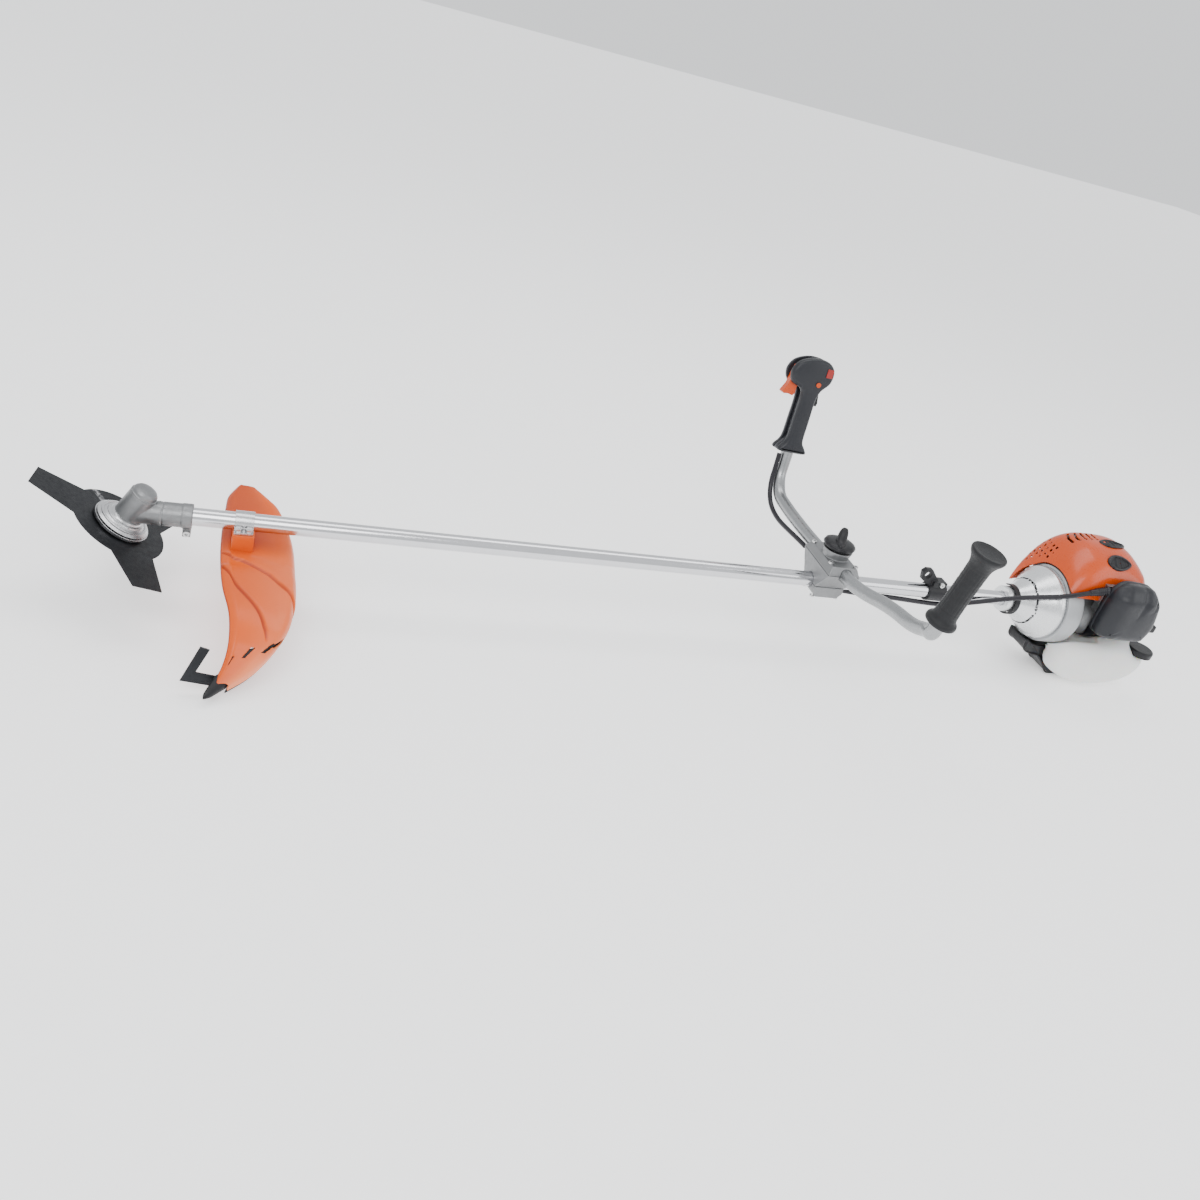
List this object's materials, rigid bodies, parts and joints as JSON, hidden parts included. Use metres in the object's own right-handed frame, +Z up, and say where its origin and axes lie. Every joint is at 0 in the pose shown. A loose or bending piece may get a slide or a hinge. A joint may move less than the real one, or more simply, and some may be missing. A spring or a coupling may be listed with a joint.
{
  "type": "brush cutter",
  "caption": "Petrol brush cutter with a toothed blade on an angled gear head, orange guard, long straight shaft, wide bicycle handlebar and rear two-stroke engine.",
  "frame": {"origin": "middle of the bounding box at its lowest level, where the tank foot and the tip of the guard rest on the floor", "axes": "+X along the shaft from the cutter head to the engine, +Z up, +Y to the side of the throttle handle, away from the air filter"},
  "size_m": [1.9298, 0.6152, 0.4442],
  "materials": {
    "blade_steel": "dark stamped steel",
    "bright_steel": "bright turned steel",
    "hardened_steel": "ground steel",
    "cast_alloy": "blasted casting",
    "tube_alloy": "polished drawn tube",
    "bar_alloy": "satin tube",
    "bearing_steel": "ground",
    "bush_rubber": "plain",
    "black_plastic": "fine texture",
    "grey_plastic": "fine texture",
    "grip_rubber": "textured",
    "orange_gloss": "moulded gloss",
    "orange_guard": "moulded, slightly translucent",
    "red_plastic": "gloss",
    "tank_plastic": "translucent polyethylene",
    "bell_alloy": "machined casting",
    "fan_grey": "blasted casting",
    "cable_jacket": "smooth jacket",
    "zinc_screws": "zinc plated",
    "bulb": "smooth",
    "muffler_black": "heat-proof black",
    "foam": "open-cell"
  },
  "bodies": {
    "frame": {"gear_housing": "cast_alloy", "gear_housing_cap": "cast_alloy", "gear_bearings": "bearing_steel", "wrap_shield": "bright_steel", "shaft_tube": "tube_alloy", "drive_shaft_bushes": "bush_rubber", "guard": "orange_guard", "guard_edge_lip": "black_plastic", "guard_clamp": "bright_steel", "guard_bolts": "zinc_screws", "line_knife": "blade_steel", "bracket_base": "cast_alloy", "bracket_body": "cast_alloy", "bracket_cap": "cast_alloy", "clamp_screws": "zinc_screws", "harness_clamp": "black_plastic", "cable_clip": "black_plastic", "clutch_housing": "bell_alloy", "fan_housing": "fan_grey", "crankcase": "cast_alloy", "cylinder": "cast_alloy", "spark_plug": "black_plastic", "muffler": "muffler_black", "top_cover": "orange_gloss", "cover_vents": "black_plastic", "filter_base": "black_plastic", "filter_cover": "grey_plastic", "filter_element": "foam", "carburettor": "cast_alloy", "primer_bulb": "bulb", "starter_housing": "grey_plastic", "fuel_tank": "tank_plastic", "tank_foot": "black_plastic", "throttle_cable_lower": "cable_jacket"},
    "cutter": {"blade": "blade_steel", "thrust_plate": "bright_steel", "clamp_plate": "bright_steel", "blade_cup": "bright_steel", "blade_nut": "bright_steel", "spindle": "hardened_steel", "crown_gear": "hardened_steel"},
    "drive": {"drive_shaft": "hardened_steel", "pinion_gear": "hardened_steel", "clutch_drum": "hardened_steel"},
    "crank": {"crankshaft": "hardened_steel", "flywheel": "cast_alloy", "clutch_shoes": "hardened_steel"},
    "bar": {"handlebar": "bar_alloy", "left_grip": "grip_rubber", "handle_shell_left": "grey_plastic", "handle_shell_right": "grey_plastic", "handle_screws": "zinc_screws", "throttle_cable_upper": "cable_jacket"},
    "trigger": {"throttle_trigger": "orange_gloss"},
    "lock_lever": {"throttle_lock_lever": "black_plastic"},
    "half_button": {"half_throttle_button": "orange_gloss"},
    "switch": {"stop_switch": "red_plastic"},
    "knob": {"clamp_knob": "black_plastic"},
    "filler_cap": {"fuel_cap": "black_plastic"},
    "starter_pull": {"starter_grip": "black_plastic"}
  },
  "joints": [
    {"name": "blade_spin", "type": "hinge", "parent": "frame", "child": "cutter", "pos_m": [-0.84114, 0.01171, 0.14], "axis": [0.5, 0, 0.866], "continuous": true},
    {"name": "drive_shaft_spin", "type": "hinge", "parent": "frame", "child": "drive", "pos_m": [-0.84114, 0.01171, 0.14], "axis": [1, 0, 0], "continuous": true},
    {"name": "crank_spin", "type": "hinge", "parent": "frame", "child": "crank", "pos_m": [0.65886, 0.01171, 0.14], "axis": [1, 0, 0], "continuous": true},
    {"name": "handlebar_tilt", "type": "hinge", "parent": "frame", "child": "bar", "pos_m": [0.25986, 0.01171, 0.178], "axis": [-0.0872, 0.9962, 0], "range_deg": [-20, 20]},
    {"name": "throttle_pull", "type": "hinge", "parent": "bar", "child": "trigger", "pos_m": [0.22443, 0.2858, 0.41718], "axis": [0, -0.9868, 0.1616], "range_deg": [0, 12], "stiffness_Nm_per_rad": 0.3},
    {"name": "lock_lever_press", "type": "hinge", "parent": "bar", "child": "lock_lever", "pos_m": [0.2682, 0.28097, 0.38769], "axis": [0, 0.9868, -0.1616], "range_deg": [0, 8], "stiffness_Nm_per_rad": 0.2},
    {"name": "half_throttle_press", "type": "slide", "parent": "bar", "child": "half_button", "axis": [0, 0.9868, -0.1616], "range_m": [0, 0.002], "stiffness_N_per_m": 600},
    {"name": "stop_switch_rock", "type": "hinge", "parent": "bar", "child": "switch", "pos_m": [0.28055, 0.27225, 0.42104], "axis": [-0.9991, 0.0069, 0.0419], "range_deg": [-4, 4]},
    {"name": "bracket_knob_turn", "type": "hinge", "parent": "frame", "child": "knob", "pos_m": [0.26086, 0.01171, 0.22], "axis": [0, 0, 1], "range_deg": [0, 1080]},
    {"name": "fuel_cap_turn", "type": "hinge", "parent": "frame", "child": "filler_cap", "pos_m": [0.93886, -0.05829, 0.09], "axis": [0, 0, 1], "range_deg": [0, 720]},
    {"name": "starter_pull_slide", "type": "slide", "parent": "frame", "child": "starter_pull", "axis": [0, -1, 0], "range_m": [0, 0.6], "stiffness_N_per_m": 15, "springref_m": -0.4}
  ],
  "couplings": [
    {"joint": "drive_shaft_spin", "follows": "blade_spin", "ratio": -1.3571}
  ]
}
